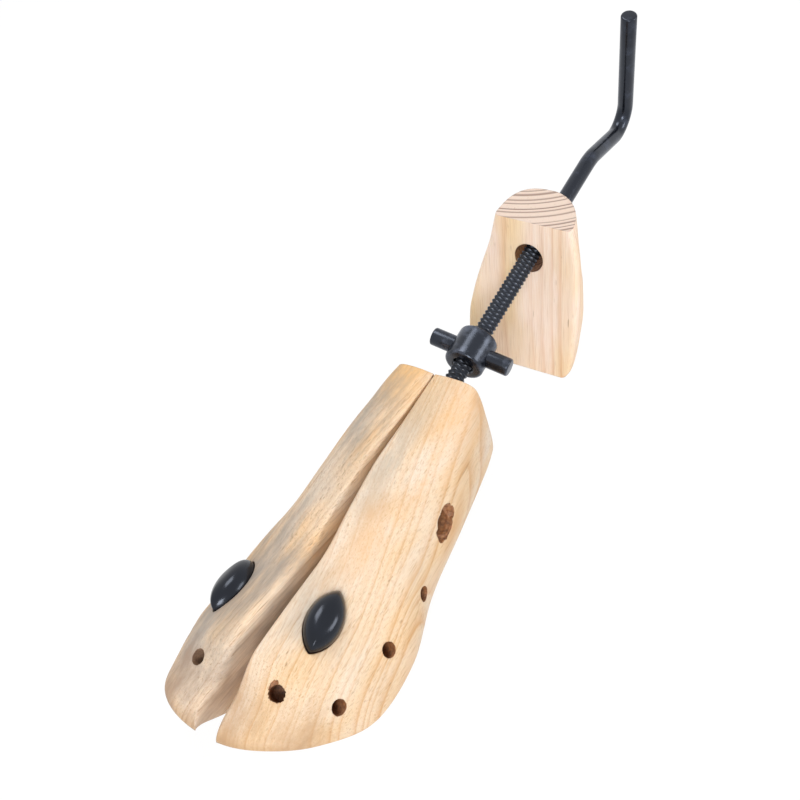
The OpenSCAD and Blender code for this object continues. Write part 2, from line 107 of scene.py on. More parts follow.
# The two wooden halves, closed, in mm. Lists go by distance from the toe; places on the skin
# are distance from the toe, degrees from the ridge and, where given, a turn on the skin.
fore = {
    "length": 176.0,
    "toe": -176.5,
    "noseZ": 18.1,
    "noseRound": (17.3, 2.2),
    "sideRound": (69.5, 2.36),
    "halfWidth": [(0, 43), (22, 40), (45, 43.3), (70, 41.8), (100, 34.3), (130, 31), (176, 22)],
    "ridgeZ": [(0, 26.7), (12, 27.7), (30, 38), (50, 39.9), (75, 41.9), (100, 50.4),
               (122, 56.7), (140, 58.8), (176, 63.7)],
    "widestZ": [(0, 22.6), (40, 2.3), (90, 9), (140, 31.4), (176, 40.6)],
    # Powers of the rounded section above and below its widest line
    "upper": [(0, 2.6), (30, 1.85), (60, 1.6), (90, 2), (120, 2), (152, 2.9), (176, 5.4)],
    "lower": [(0, 2.35), (40, 2.65), (100, 2.85), (176, 3.8)],
    "soleZ": [(0, 20.4), (10, 13), (20, 7.3), (30, 3.1), (40, 0.7), (48, -0.4), (119, -0.4),
              (150, 0.9), (176, 3.2)],
    "sockets": [(32.8, 63), (63.2, 62), (93.3, 77)],
    # By side, 1 for the left half and -1 for the right
    "toeSocket": {1: (20.3, 25), -1: (21.2, 28)},
    "seat": {1: (53.3, 37.8, 8.2), -1: (53.1, 26.2, -7)},
    "crossBoreX": -56.1,
    "leanFrom": 110,
}


# Point of a closed left half's skin, d from the toe and phi from the ridge
def skin(d, phi):
    d = np.asarray(d, float)
    phi = np.asarray(phi, float)
    (noseReach, nosePower), (sideReach, sidePower) = fore["noseRound"], fore["sideRound"]
    rise = roundOff(d / noseReach, nosePower)
    nose = fore["noseZ"]
    w = curveThrough(fore["halfWidth"], d) * roundOff(d / sideReach, sidePower)
    top = nose + (curveThrough(fore["ridgeZ"], d) - nose) * rise
    low = nose + (curveThrough(fore["soleZ"], d) - nose) * rise
    wide = nose + (curveThrough(fore["widestZ"], d) - nose) * rise
    isUp = phi <= 90
    power = np.where(isUp, curveThrough(fore["upper"], d), curveThrough(fore["lower"], d))
    side = np.abs(np.sin(np.radians(phi))) ** (2 / power)
    lift = np.abs(np.cos(np.radians(phi))) ** (2 / power)
    y = seam / 2 + (w - seam / 2) * side
    z = np.maximum(0, np.where(isUp, wide + (top - wide) * lift, wide - (wide - low) * lift))
    # The rear third leans with the rod
    leanFrom = fore["leanFrom"]
    lean = np.clip((d - leanFrom) / (fore["length"] - leanFrom), 0, 1) * math.tan(rodRise)
    return np.stack([fore["toe"] + d - (z - rodZ) * lean, y, z], -1)


# Matrix in mm that puts +Z out of the skin and +X back along the half
def skinFrame(d, phi, turnDegrees=0.0):
    at = skin(d, phi)
    back = skin(d + 0.5, phi) - skin(d - 0.5, phi)
    down = skin(d, phi + 1) - skin(d, phi - 1)
    n = np.cross(down, back)
    n /= np.linalg.norm(n)
    if n[1] < 0:
        n = -n
    a = back - n * back.dot(n)
    a /= np.linalg.norm(a)
    b = np.cross(n, a)
    m = Matrix(((a[0], b[0], n[0], at[0]), (a[1], b[1], n[1], at[1]),
                (a[2], b[2], n[2], at[2]), (0, 0, 0, 1)))
    return m @ Matrix.Rotation(math.radians(turnDegrees), 4, "Z")


# Matrix in mm that opens a closed left half, and mirrors it for the right
def openHalf(side):
    swing = Matrix.Translation((-hingeBack, 0, 0)) @ Matrix.Rotation(-halfOpen, 4, "Z")
    swing = swing @ Matrix.Translation((hingeBack, 0, 0))
    flip = Matrix.Scale(-1, 4, (0, 1, 0)) if side < 0 else Matrix.Identity(4)
    return Matrix.Translation((midShift, 0, 0)) @ flip @ swing


onAxis = Matrix.Translation((midShift, 0, rodZ)) @ Matrix.Rotation(-rodRise, 4, "Y")
axisClosed = Matrix.Translation((0, 0, rodZ)) @ Matrix.Rotation(-rodRise, 4, "Y")


# A mesh object from points in mm
def makeMesh(name, points, faces, smooth=True):
    mesh = bpy.data.meshes.new(name)
    mesh.from_pydata([tuple(p) for p in np.asarray(points, float) * mm], [], faces)
    mesh.validate()
    mesh.shade_smooth() if smooth else mesh.shade_flat()
    piece = bpy.data.objects.new(name, mesh)
    bpy.context.collection.objects.link(piece)
    return piece


def moved(points, matrix):
    m = np.array(matrix)
    p = np.asarray(points, float)
    return p @ m[:3, :3].T + m[:3, 3]


# Quads between closed rings of points, and a fan over each end unless the last ring leads
# back to the first
def loopFaces(rings, count, flip=False, endless=False):
    faces = []
    for i in range(rings if endless else rings - 1):
        n = (i + 1) % rings
        for j in range(count):
            k = (j + 1) % count
            quad = (i * count + j, n * count + j, n * count + k, i * count + k)
            faces.append(quad[::-1] if flip else quad)
    if endless:
        return faces
    first = tuple(range(count))
    last = tuple((rings - 1) * count + j for j in range(count))
    faces.append(first if not flip else first[::-1])
    faces.append(last[::-1] if not flip else last)
    return faces


# A closed solid of revolution about +Z of matrix: stations are (z, r) in mm
def tubeAlong(name, matrix, stations, sides=48, wobble=None):
    points = []
    for z, r in stations:
        for j in range(sides):
            a = 2 * math.pi * j / sides
            extra = wobble(a, z) if wobble else 0.0
            points.append(((r + extra) * math.cos(a), (r + extra) * math.sin(a), z))
    return makeMesh(name, moved(points, matrix), loopFaces(len(stations), sides, flip=True))


# A prism over an outline in the XY plane of matrix
def blockFrom(name, matrix, outline, low, high):
    points = [(x, y, low) for x, y in outline] + [(x, y, high) for x, y in outline]
    count = len(outline)
    faces = [tuple(range(count))[::-1], tuple(range(count, 2 * count))]
    for j in range(count):
        k = (j + 1) % count
        faces.append((j, k, count + k, count + j))
    return makeMesh(name, moved(points, matrix), faces, smooth=False)


# Points the faces outwards and, where an angle is given, keeps edges beyond it crisp
def fixNormals(piece, sharp=None):
    work = bmesh.new()
    work.from_mesh(piece.data)
    bmesh.ops.recalc_face_normals(work, faces=work.faces)
    work.to_mesh(piece.data)
    work.free()
    if sharp:
        piece.data.set_sharp_from_angle(angle=math.radians(sharp))


# Cuts the closed cutters out of a piece and leaves a plain mesh. Faces that a cutter leaves
# take the second material, apart from those of the sanded cutters.
def cutAll(piece, cutters, sharp=32, sanded=()):
    for part in (piece, *cutters):
        part.data.materials.append(None)
        part.data.materials.append(None)
    for cutter in cutters:
        fixNormals(cutter)
        cut = piece.modifiers.new(cutter.name, "BOOLEAN")
        cut.operation = "DIFFERENCE"
        cut.solver = "EXACT"
        cut.object = cutter
        index = 0 if cutter in sanded else 1
        cutter.data.polygons.foreach_set("material_index", [index] * len(cutter.data.polygons))
    graph = bpy.context.evaluated_depsgraph_get()
    result = bpy.data.meshes.new_from_object(piece.evaluated_get(graph))
    piece.modifiers.clear()
    piece.data = result
    result.shade_smooth()
    result.set_sharp_from_angle(angle=math.radians(sharp))
    for cutter in cutters:
        bpy.data.objects.remove(cutter, do_unlink=True)


# Applies a matrix given in mm to a mesh held in metres
def transformMesh(piece, matrix):
    m = Matrix.Scale(mm, 4) @ matrix @ Matrix.Scale(1 / mm, 4)
    piece.data.transform(m)
    if m.determinant() < 0:
        piece.data.flip_normals()
    piece.data.update()


# Wooden halves: their mesh, the wear of their edges and what is cut out of them
halfMesh = {
    "rings": 190,
    "around": 120,
    "wall": 14,
    "toeward": 1.7,  # puts the rings closer at the toe
    "socketR": 3.2,
    "socketDepth": 12.0,
    "boreR": 5.25,
    "boreMouth": 33.0,
    "seatSize": (28.5, 14.9),
    "seatDepth": 0.9,
    "stemHole": (3.05, 12.0),
    "boreFray": (0.2, 0.5),  # left and right half
    "socketFray": (0.12, 0.55),  # most sockets, and the right toe socket
    "topTo": 60,
    "rearRound": 0.9,
    "rearReach": 12,
    "rearAngles": (40, 30),  # where it starts, and over how many degrees it grows
    # Radius of the sanded edge along the seam, by distance from the toe
    "seamEdgeLeft": [(0, 0.3), (4, 2.0), (20, 5.0), (50, 5.0), (80, 3.8), (110, 2.4), (135, 1.1),
                     (176, 0.5)],
    "seamEdgeRight": [(0, 0.8), (40, 1.2), (100, 1.0), (176, 0.5)],
    # Torn places on the right half: distance from the toe, angle, reach in mm, seed
    "torn": [(122.6, 73.0, (4.8, 4.5, 3.6), 3), (123.4, 68.0, (3.6, 1.6, 1.5), 5),
             (117.4, 75.0, (4.8, 4.7, 3.6), 11), (22.6, 23.6, (2.4, 1.5, 1.3), 8)],
}
# Pockets of the hidden mechanism, in mm; places are along the rod's axis
pockets = {
    "channel": (-116, 25, 6.3),  # from, to, radius
    "anchorX": -55.2,
    "anchor": (14.75, 10.3),  # half length, radius
    "wedgeEnds": (-71, -74, -98, -98.6),
    "wedgeSlope": math.radians(27),
    "plateStart": (-81.54, 9.4975),
    "plateThick": 2,
    "wedgeHalfHeight": 8.3,
    "knuckleR": 2.8,
    "leaf": (16, 2.55),  # length, depth
    "reliefTo": 40,
    "reliefSlope": math.radians(4.9),
    "reliefZ": (-1, 79),
}
hinges = [(8.0, 24.0), (50.6, 7.2)]  # lower end and height


# The plug's pointed oval
def almondOutline(length, width, count=72):
    out = []
    for j in range(count):
        a = 2 * math.pi * j / count
        c, s = math.cos(a), math.sin(a)
        out.append((length / 2 * math.copysign(abs(c) ** 0.95, c),
                    width / 2 * math.copysign(abs(s) ** 1.5, s)))
    return out


# Radius change of a drilled hole: smooth inside, frayed near its mouth
def frayedRim(seed, amount, reach):
    random = np.random.default_rng(seed)
    phases = random.uniform(0, 2 * math.pi, 9)
    sizes = random.uniform(0.4, 1.0, 9)

    def wobble(a, z):
        near = max(0.0, 1 - abs(z) / reach)
        wave = sum(sizes[k] * math.cos((3 + 2 * k) * a + phases[k]) for k in range(9)) / 4
        return amount * near * max(wave, -0.4)
    return wobble


# A lumpy shape along the grain that stands for fibres torn out behind a hole
def tornFibres(name, spot, reach, seed):
    random = np.random.default_rng(seed)
    n = Vector(spot.col[2][:3])
    a = (Vector((1, 0, 0)) - n * n.x).normalized()
    b = n.cross(a)
    lump = bmesh.new()
    bmesh.ops.create_icosphere(lump, subdivisions=3, radius=1.0)
    for v in lump.verts:
        x, y, z = v.co * (1 + random.uniform(-0.13, 0.13))
        v.co = (spot.translation + a * x * reach[0] + b * y * reach[1] + n * z * reach[2]) * mm
    piece = bpy.data.objects.new(name, bpy.data.meshes.new(name))
    lump.to_mesh(piece.data)
    lump.free()
    bpy.context.collection.objects.link(piece)
    return piece


# The closed half as a plain solid, with its edges sanded
def halfSolid(name, side):
    n = halfMesh["rings"]
    d = fore["length"] * (np.arange(1, n + 1) / n) ** halfMesh["toeward"]
    phi = np.linspace(0, 180, halfMesh["around"])
    grid = skin(d[:, None], phi[None, :])
    # The sanded edge along the seam, rounder in the middle than at the ends
    ease = curveThrough(halfMesh["seamEdgeLeft" if side > 0 else "seamEdgeRight"], d)[:, None]
    inward = np.clip((grid[..., 1] - seam / 2) / ease, 0, 1)
    drop = ease * (1 - np.sqrt(1 - (1 - inward) ** 2))
    isTop = phi[None, :] < halfMesh["topTo"]
    grid[..., 2] -= np.where(isTop, np.minimum(drop, 0.5 * (grid[..., 2] - 2)), 0)
    # The outer edge of the rear end is sanded round too
    reach, (fromAngle, fade) = halfMesh["rearReach"], halfMesh["rearAngles"]
    end = np.clip((d - (fore["length"] - reach)) / reach, 0, 1)[:, None] ** 2
    outer = np.clip((phi[None, :] - fromAngle) / fade, 0, 1)
    grid[..., 1] -= halfMesh["rearRound"] * end * outer
    wallSteps = np.linspace(0, 1, halfMesh["wall"] + 2)[1:-1]
    wall = grid[:, -1:, :] + (grid[:, :1, :] - grid[:, -1:, :]) * wallSteps[None, :, None]
    rings = np.concatenate([grid, wall], axis=1)
    count = rings.shape[1]
    points = np.concatenate([[[fore["toe"], seam / 2, fore["noseZ"]]], rings.reshape(-1, 3)])
    faces = [(0, 1 + (j + 1) % count, 1 + j) for j in range(count)]
    for i in range(n - 1):
        for j in range(count):
            k = (j + 1) % count
            faces.append((1 + i * count + j, 1 + i * count + k,
                          1 + (i + 1) * count + k, 1 + (i + 1) * count + j))
    faces.append(tuple(1 + (n - 1) * count + j for j in range(count))[::-1])
    piece = makeMesh(name, points, faces)
    fixNormals(piece)
    return piece


# What the hidden mechanism needs: its channel, pockets, mortises and room to close
def mechanismCutters():
    cutters = []
    along = axisClosed @ Matrix.Rotation(math.pi / 2, 4, "Y")
    toward, back, r = pockets["channel"]
    cutters.append(tubeAlong("rodChannel", along, [(toward, r), (back, r)], 40))
    middle = pockets["anchorX"] / math.cos(rodRise)
    half, r = pockets["anchor"]
    cutters.append(tubeAlong("anchorPocket", along, [(middle - half, r), (middle + half, r)], 48))
    mouth, front, rear, foot = pockets["wedgeEnds"]
    startX, startY = pockets["plateStart"]
    slope = math.tan(pockets["wedgeSlope"])
    thick = pockets["plateThick"] / math.cos(pockets["wedgeSlope"])
    wide, narrow = [startY + (x - startX) * slope + thick for x in (front, rear)]
    wedge = [(mouth, -2), (mouth, wide + 0.5), (front, wide + 0.5), (front, wide),
             (rear, narrow), (foot, narrow), (foot, -2)]
    tall = pockets["wedgeHalfHeight"]
    cutters.append(blockFrom("wedgePocket", axisClosed, wedge, -tall, tall))
    r, (deep, wide) = pockets["knuckleR"], pockets["leaf"]
    for low, tall in hinges:
        place = Matrix.Translation((-hingeBack, 0, low - 0.4))
        cutters.append(tubeAlong("knucklePocket", place, [(0, r), (tall + 0.8, r)], 24))
        corner = Matrix.Translation((-hingeBack - deep - 0.2, -1, low - 0.1))
        outline = [(0, 0), (deep, 0), (deep, wide), (0, wide)]
        cutters.append(blockFrom("leafMortise", corner, outline, 0, tall + 0.2))
    reach = pockets["reliefTo"]
    widest = seam / 2 + (reach + hingeBack) * math.tan(pockets["reliefSlope"])
    relief = [(-hingeBack, -2), (reach, -2), (reach, widest), (-hingeBack, seam / 2)]
    cutters.append(blockFrom("relief", Matrix.Identity(4), relief, *pockets["reliefZ"]))
    return cutters


# What is drilled from outside: the cross bore with its torn rim, the plug's seat and sockets
def drilledCutters(side):
    cutters = []
    boreZ = rodZ + pockets["anchorX"] * math.tan(rodRise)
    across = Matrix.Translation((fore["crossBoreX"], 0, boreZ))
    across = across @ Matrix.Rotation(-math.pi / 2, 4, "X")
    mouth = halfMesh["boreMouth"]
    rim = frayedRim(7 + side, halfMesh["boreFray"][side < 0], 4.0)
    levels = [0, 10, 20, 26, 28, 29, 30, 31, 32, 33, 34, 35, 37, 45]
    cutters.append(tubeAlong("crossBore", across, [(z, halfMesh["boreR"]) for z in levels], 72,
                             lambda a, z: rim(a, z - mouth)))
    if side < 0:
        for distance, angle, reach, seed in halfMesh["torn"]:
            cutters.append(tornFibres("tornFibres", skinFrame(distance, angle), reach, seed))
    seat = skinFrame(*fore["seat"][side])
    oval = almondOutline(*halfMesh["seatSize"])
    cutters.append(blockFrom("plugSeat", seat, oval, -halfMesh["seatDepth"], 12))
    r, deep = halfMesh["stemHole"]
    cutters.append(tubeAlong("plugSocket", seat, [(-deep, r), (0, r)], 32))
    for index, spot in enumerate([fore["toeSocket"][side]] + fore["sockets"]):
        fray = halfMesh["socketFray"][side < 0 and index == 0]
        rim = frayedRim(20 + index + 10 * side, fray, 1.6)
        levels = [-halfMesh["socketDepth"], -8, -4, -2, -1.4, -1, -0.6, -0.3, 0, 0.4, 0.8, 3, 6]
        stations = [(z, halfMesh["socketR"]) for z in levels]
        cutters.append(tubeAlong("socket", skinFrame(*spot), stations, 48, rim))
    return cutters


def woodenHalf(name, side):
    piece = halfSolid(name, side)
    cutAll(piece, mechanismCutters() + drilledCutters(side))
    transformMesh(piece, openHalf(side))
    return piece


halfLeft = woodenHalf("pineHalfLeft", 1)
halfRight = woodenHalf("pineHalfRight", -1)
print("wooden halves", len(halfLeft.data.polygons), len(halfRight.data.polygons))


# Plugs
plugSet = {
    "length": 27.5,
    "width": 14.5,
    "height": 7.6,
    "edge": 1.0,
    "sunk": 0.9,
    "stem": (3.0, 10.0),
    "around": 96,
    "rings": 28,
}


def bunionPlug(name, side):
    outline = almondOutline(plugSet["length"], plugSet["width"], plugSet["around"])
    sunk = plugSet["sunk"]
    levels = [(-sunk, 0.985), (-0.75, 1.0)]
    for k in range(plugSet["rings"] + 1):
        t = math.radians(88 * k / plugSet["rings"])
        rise = plugSet["edge"] + (plugSet["height"] - plugSet["edge"]) * math.sin(t)
        levels.append((rise - sunk, math.cos(t) ** 0.75))
    points = [(x * s, y * s, z) for z, s in levels for x, y in outline]
    seat = skinFrame(*fore["seat"][side])
    piece = makeMesh(name, moved(points, seat), loopFaces(len(levels), len(outline), True))
    fixNormals(piece, 50)
    r, deep = plugSet["stem"]
    stem = tubeAlong(name + "Stem", seat, [(-deep, r), (-sunk, r)], 32)
    fixNormals(stem)
    join([piece, stem])
    transformMesh(piece, openHalf(side))
    return piece


# Makes one object of several, under the first one's name
def join(pieces):
    bpy.ops.object.select_all(action="DESELECT")
    for piece in pieces:
        piece.select_set(True)
    bpy.context.view_layer.objects.active = pieces[0]
    bpy.ops.object.join()


plugLeft = bunionPlug("bunionPlugLeft", 1)
plugRight = bunionPlug("bunionPlugRight", -1)
print("plugs", len(plugLeft.data.polygons), len(plugRight.data.polygons))


# Heel block: half widths, depth and middle line by height, in mm
heel = {
    "front": 85.0,
    "corner": 2.4,
    "half": [(0, 26.5), (4, 28.5), (12, 29.6), (20, 29.9), (28, 30), (39, 29), (49, 27.7),
             (59, 26), (75, 23), (88, 20.3), (104, 16)],
    "deep": [(0, 22), (6, 29.5), (25, 37.5), (50, 31), (75, 19.5), (91, 23.5), (104, 23.5)],
    "middle": [(0, 8), (20, 6.9), (39, 4.4), (59, 1.1), (75, -1.4), (88, -1.9), (104, -2.5)],
    "powers": (1.9, 2.9),  # rounder on the right than on the left
    "top": 104.0,
    "cutZ": 88.7,
    "cutSlope": -11.5,
    "cutRoll": 0.5,
    "rings": 90,
    "footward": 1.25,  # puts the rings closer at the foot
    "sides": 84,
    "boreR": 7.5,
}


def heelBlock():
    points = []
    f, c = heel["front"], heel["corner"]
    arc = [math.radians(s) for s in (15, 30, 45, 60, 75)]
    for i in range(heel["rings"] + 1):
        z = heel["top"] * (i / heel["rings"]) ** heel["footward"]
        w = float(curveThrough(heel["half"], np.array(z)))
        deep = float(curveThrough(heel["deep"], np.array(z))) - c
        m = float(curveThrough(heel["middle"], np.array(z)))
        for s in np.linspace(-1, 1, 15):
            points.append((f, m + s * (w - c), z))
        for a in arc:
            points.append((f + c - c * math.cos(a), m + w - c + c * math.sin(a), z))
        for j in range(heel["sides"] + 1):
            t = math.radians(90 - 180 * j / heel["sides"])
            p = 2 / heel["powers"][0 if t < 0 else 1]
            x = f + c + deep * abs(math.cos(t)) ** p
            points.append((x, m + w * math.copysign(abs(math.sin(t)) ** p, t), z))
        for a in arc[::-1]:
            points.append((f + c - c * math.cos(a), m - w + c - c * math.sin(a), z))
    count = len(points) // (heel["rings"] + 1)
    piece = makeMesh("pineHeelBlock", points, loopFaces(heel["rings"] + 1, count))
    fixNormals(piece)
    slope = Matrix.Translation((f, 0, heel["cutZ"]))
    slope = slope @ Matrix.Rotation(math.radians(heel["cutSlope"]), 4, "Y")
    slope = slope @ Matrix.Rotation(math.radians(heel["cutRoll"]), 4, "X")
    top = blockFrom("topCut", slope, [(-20, -60), (80, -60), (80, 60), (-20, 60)], 0, 40)
    along = axisClosed @ Matrix.Rotation(math.pi / 2, 4, "Y")
    bore = tubeAlong("heelBore", along, [(60, heel["boreR"]), (160, heel["boreR"])], 72)
    cutAll(piece, [top, bore], 30, [top])
    transformMesh(piece, Matrix.Translation((midShift, 0, 0)))
    return piece


heelPiece = heelBlock()
print("heel block", len(heelPiece.data.polygons))


# Threaded rod and crank, in mm and degrees along the rod's axis
rod = {
    "front": -110.0,
    "threadTo": 103.0,
    "step": 0.25,
    "sides": 88,
    "crest": 4.68,
    "root": 3.75,
    "groove": 0.56,
    "pitch": 2.46,
    "starts": 4,
    "smooth": 4.0,
    "bendAt": 160.2,
    "firstBend": 21.8,
    "middle": 49.4,
    "gripAngle": 92.5,
    "gripL": 74.6,
    "roll": 7.4,
    "bendR": 28.0,
    "gripBendR": 11.0,
    # The grip's rounded tip: distance from the end and radius
    "tip": [(0.8, 4.0), (0.45, 3.88), (0.2, 3.65), (0.05, 3.35), (0.0, 3.1)],
}


# Sets or links a node's inputs. A value may be a number, a hex colour, a socket or a node,
# whose first output then counts.
def feed(node, inputs):
    for key, value in inputs.items():
        if isinstance(value, bpy.types.Node):
            value = value.outputs[0]
        if isinstance(value, bpy.types.NodeSocket):
            node.id_data.links.new(value, node.inputs[key])
        else:
            isHex = isinstance(value, str)
            node.inputs[key].default_value = hexColor(value) if isHex else value


# Adds one node with its settings and links. The kind may end in its operation; stops are a
# colour ramp's, each with a hex colour or a grey level.
def addNode(tree, kind, inputs=None, stops=None, **settings):
    kind, _, operation = kind.partition(" ")
    named = kind if kind.startswith(("Geometry", "Node")) else "ShaderNode" + kind
    node = tree.nodes.new(named)
    if operation:
        node.operation = operation
    for key, value in settings.items():
        setattr(node, key, value)
    feed(node, inputs or {})
    if stops:
        elements = node.color_ramp.elements
        while len(elements) > 1:
            elements.remove(elements[-1])
        for index, (place, color) in enumerate(stops):
            element = elements[0] if index == 0 else elements.new(place)
            element.position = place
            element.color = hexColor(color) if isinstance(color, str) else grey(color)
    return node


# Two crossed four-start threads on one bar: a crest is left only where neither cuts, which
# leaves the rows of small bumps. Sizes are in metres.
def crossThreadTree():
    tree = bpy.data.node_groups.new("crossed thread", "GeometryNodeTree")
    sizes = {"Length": (rod["threadTo"] - rod["front"]) * mm, "Crest": rod["crest"] * mm,
             "Root": rod["root"] * mm, "Smooth": rod["smooth"] * mm, "Pitch": rod["pitch"] * mm,
             "Starts": float(rod["starts"]), "Groove": rod["groove"]}
    for key in sizes:
        tree.interface.new_socket(key, in_out="INPUT", socket_type="NodeSocketFloat")
    tree.interface.new_socket("Steel", in_out="INPUT", socket_type="NodeSocketMaterial")
    tree.interface.new_socket("Geometry", in_out="OUTPUT", socket_type="NodeSocketGeometry")
    add = partial(addNode, tree)
    given = add("NodeGroupInput").outputs
    rings = int((rod["threadTo"] - rod["front"]) / rod["step"])
    bar = add("GeometryNodeMeshCylinder", {"Vertices": rod["sides"], "Side Segments": rings,
                                           "Radius": given["Crest"], "Depth": given["Length"]})
    place = add("GeometryNodeInputPosition")
    axes = add("SeparateXYZ", {0: place}).outputs
    angle = add("Math ARCTAN2", {0: axes["Y"], 1: axes["X"]})
    turns = add("Math MULTIPLY", {0: angle, 1: 1 / (2 * math.pi)})
    turns = add("Math MULTIPLY", {0: turns, 1: given["Starts"]})
    along = add("Math DIVIDE", {0: axes["Z"], 1: given["Pitch"]})
    deepest = None
    for hand in ("ADD", "SUBTRACT"):
        phase = add("Math " + hand, {0: along, 1: turns})
        phase = add("Math FLOORED_MODULO", {0: phase, 1: 1.0})
        away = add("Math SUBTRACT", {0: phase, 1: 0.5})
        away = add("Math ABSOLUTE", {0: away})
        depth = add("MapRange", {"Value": away, "From Min": given["Groove"], "From Max": 0.0},
                    interpolation_type="SMOOTHSTEP")
        deepest = depth if deepest is None else add("Math MAXIMUM", {0: deepest, 1: depth})
    cut = add("MapRange", {"Value": deepest, "To Min": given["Crest"], "To Max": given["Root"]})
    # The last turns run out into the smooth bar
    half = add("Math MULTIPLY", {0: given["Length"], 1: 0.5})
    left = add("Math SUBTRACT", {0: half, 1: axes["Z"]})
    fade = add("MapRange", {"Value": left, "From Max": 2.5 * mm})
    radius = add("Mix", {"Factor": fade, 2: given["Smooth"], 3: cut})
    around = add("CombineXYZ", {"X": axes["X"], "Y": axes["Y"]})
    outward = add("VectorMath NORMALIZE", {0: around})
    outward = add("VectorMath SCALE", {0: outward, "Scale": radius})
    lift = add("CombineXYZ", {"Z": axes["Z"]})
    goal = add("VectorMath ADD", {0: outward, 1: lift})
    shaped = add("GeometryNodeSetPosition", {"Geometry": bar, "Position": goal})
    smooth = add("GeometryNodeSetShadeSmooth", {"Geometry": shaped})
    real = add("GeometryNodeRealizeInstances", {"Geometry": smooth})
    worn = add("GeometryNodeSetMaterial", {"Geometry": real, "Material": given["Steel"]})
    add("NodeGroupOutput", {0: worn})
    return tree, sizes


# Runs a tree once and leaves its result as a plain mesh
def grow(name, tree, values):
    piece = bpy.data.objects.new(name, bpy.data.meshes.new(name))
    bpy.context.collection.objects.link(piece)
    modifier = piece.modifiers.new(name, "NODES")
    modifier.node_group = tree
    for item in tree.interface.items_tree:
        if item.in_out == "INPUT" and item.name in values:
            modifier[item.identifier] = values[item.name]
    graph = bpy.context.evaluated_depsgraph_get()
    result = bpy.data.meshes.new_from_object(piece.evaluated_get(graph))
    piece.modifiers.clear()
    piece.data = result
    return piece


def crossThread():
    tree, sizes = crossThreadTree()
    piece = grow("crossThread", tree, sizes)
    fixNormals(piece)
    middle = (rod["threadTo"] + rod["front"]) / 2
    place = onAxis @ Matrix.Translation((middle, 0, 0)) @ Matrix.Rotation(math.pi / 2, 4, "Y")
    transformMesh(piece, place)
    piece.data.materials.clear()
    return piece


def spindlePiece():
    sides = rod["sides"]
    angles = 2 * math.pi * np.arange(sides) / sides

    # The crank's middle line in its own plane
    b1, b2 = math.radians(rod["firstBend"]), math.radians(rod["gripAngle"])
    cut1 = rod["bendR"] * math.tan(b1 / 2)
    cut2 = rod["gripBendR"] * math.tan((b1 + b2) / 2)
    path = [(rod["threadTo"] - 0.5, 0.0, 0.0), (120, 0, 0), (140, 0, 0)]
    c1 = np.array([rod["bendAt"] - cut1, -rod["bendR"]])
    for a in np.linspace(0, b1, 10):
        path.append((*(c1 + rod["bendR"] * np.array([math.sin(a), math.cos(a)])), -a))
    p1 = np.array(path[-1][:2])
    forward = np.array([math.cos(b1), -math.sin(b1)])
    p2 = p1 + (rod["middle"] - cut1 - cut2) * forward
    c2 = p2 + rod["gripBendR"] * np.array([math.sin(b1), math.cos(b1)])
    for a in np.linspace(-b1, b2, 40):
        path.append((*(c2 + rod["gripBendR"] * np.array([math.sin(a), -math.cos(a)])), a))
    p3 = np.array(path[-1][:2])
    grip = np.array([math.cos(b2), math.sin(b2)])
    length = rod["gripL"] - cut2
    for s in (0.33, 0.66):
        path.append((*(p3 + length * s * grip), b2))
    tip = p3 + length * grip
    radii = [rod["smooth"]] * len(path)
    for back, r in rod["tip"]:
        path.append((*(tip - back * grip), b2))
        radii.append(r)
    rows = []
    for (x, y, a), r in zip(path, radii):
        rows.append([(x - r * math.cos(t) * math.sin(a), y + r * math.cos(t) * math.cos(a),
                      r * math.sin(t)) for t in angles])
    inPlane = onAxis @ Matrix.Rotation(math.radians(90 + rod["roll"]), 4, "X")
    crank = makeMesh("crankHandle", moved(np.array(rows).reshape(-1, 3), inPlane),
                     loopFaces(len(path), sides))
    fixNormals(crank, 55)
    threaded = crossThread()
    join([threaded, crank])
    threaded.name = "blackSteelSpindle"
    return threaded


spindle = spindlePiece()
print("spindle", len(spindle.data.polygons))


# Wing nut
nut = {
    "front": 18.6,
    "length": 17.5,
    "r": 9.5,
    "round": 1.8,
    "bore": 4.75,
    "chamfer": 0.7,
    "barR": 4.25,
    "barRoot": 6.05,
    "span": 39.5,
    "roll": 11.4,
    "barRound": 0.9,
    "sides": 96,
}


def wingNut():
    r, b, length = nut["r"], nut["round"], nut["length"]
    bore, chamfer, sides = nut["bore"], nut["chamfer"], nut["sides"]
    arc = [math.pi / 2 * s / 8 for s in range(9)]
    profile = [(0, bore + chamfer)]
    profile += [(b - b * math.cos(a), r - b + b * math.sin(a)) for a in arc]
    profile += [(z, r) for z in np.linspace(b, length - b, 6)[1:-1]]
    profile += [(length - b + b * math.sin(a), r - b + b * math.cos(a)) for a in arc]
    profile += [(length, bore + chamfer), (length - chamfer, bore), (chamfer, bore)]
    points = []
    for z, radius in profile:
        for j in range(sides):
            a = 2 * math.pi * j / sides
            points.append((nut["front"] + z, radius * math.cos(a), radius * math.sin(a)))
    barrel = makeMesh("blackSteelNutBarrel", moved(points, onAxis),
                      loopFaces(len(profile), sides, endless=True))
    fixNormals(barrel, 40)
    e, r, tip = nut["barRound"], nut["barR"], nut["span"] / 2
    stations = [(nut["barRoot"], r), (12, r), (tip - e, r)]
    for q in range(1, 7):
        a = math.pi / 2 * q / 6
        stations.append((tip - e + e * math.sin(a), r - e + e * math.cos(a)))
    bars = []
    for s in (-1, 1):
        place = onAxis @ Matrix.Translation((nut["front"] + length / 2, 0, 0))
        place = place @ Matrix.Rotation(math.radians(nut["roll"] - 90 * s), 4, "X")
        stub = tubeAlong("blackSteelNutBar", place, stations, 64)
        fixNormals(stub, 50)
        bars.append(stub)
    join(bars)
    bars[0].name = "blackSteelNutBars"
    return barrel, bars[0]


